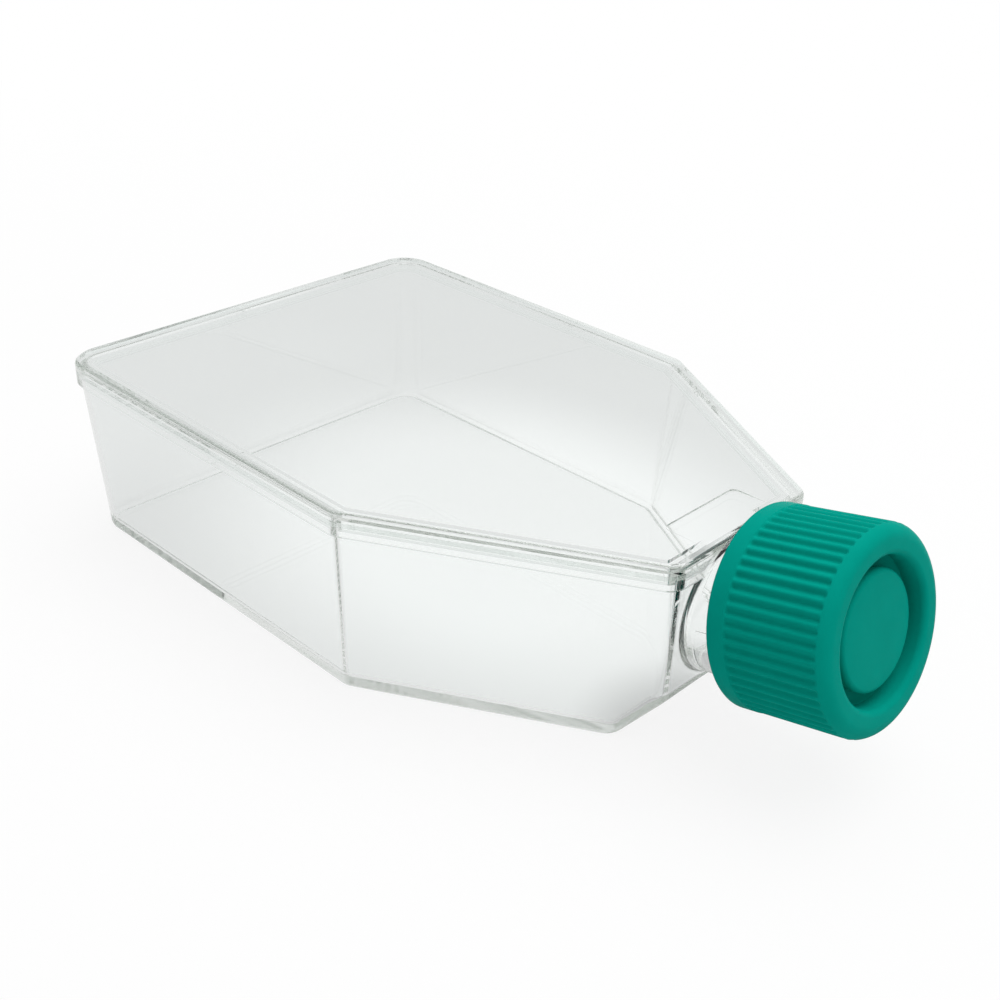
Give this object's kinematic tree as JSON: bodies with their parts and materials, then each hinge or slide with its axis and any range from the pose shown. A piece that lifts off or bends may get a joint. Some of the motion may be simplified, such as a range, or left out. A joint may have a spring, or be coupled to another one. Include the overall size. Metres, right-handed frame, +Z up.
{
  "type": "cell culture flask",
  "caption": "Clear flat-sided cell culture flask with a tapered shoulder, a canted threaded neck and a green ribbed vent screw cap.",
  "frame": {"origin": "on the resting face of the tray, on the plane of symmetry, midway along the flat floor", "axes": "+X runs along the flask towards the neck, +Z is up from the resting face, Y is across; mirror-symmetric about Y = 0 apart from the thread"},
  "size_m": [0.1497, 0.084, 0.0428],
  "materials": {
    "clear_tray": "clear polystyrene, polished",
    "clear_plate": "clear polystyrene, polished",
    "green_cap": "satin polyethylene",
    "white_membrane": "matt filter membrane"
  },
  "bodies": {
    "flask": {"flask_tray": "clear_tray", "top_plate": "clear_plate"},
    "vent_disc": {"vent_membrane": "white_membrane"},
    "cap": {"screw_cap": "green_cap"}
  },
  "joints": [
    {"name": "cap_lift", "type": "slide", "parent": "flask", "child": "vent_disc", "axis": [0.9715, 0, 0.2368], "range_m": [0, 0.006]},
    {"name": "cap_turn", "type": "hinge", "parent": "vent_disc", "child": "cap", "pos_m": [0.08848, 0, 0.02794], "axis": [0.9715, 0, 0.2368], "range_deg": [0, 540]}
  ],
  "couplings": [
    {"joint": "cap_turn", "follows": "cap_lift", "rad_per_m": 1570.8}
  ]
}
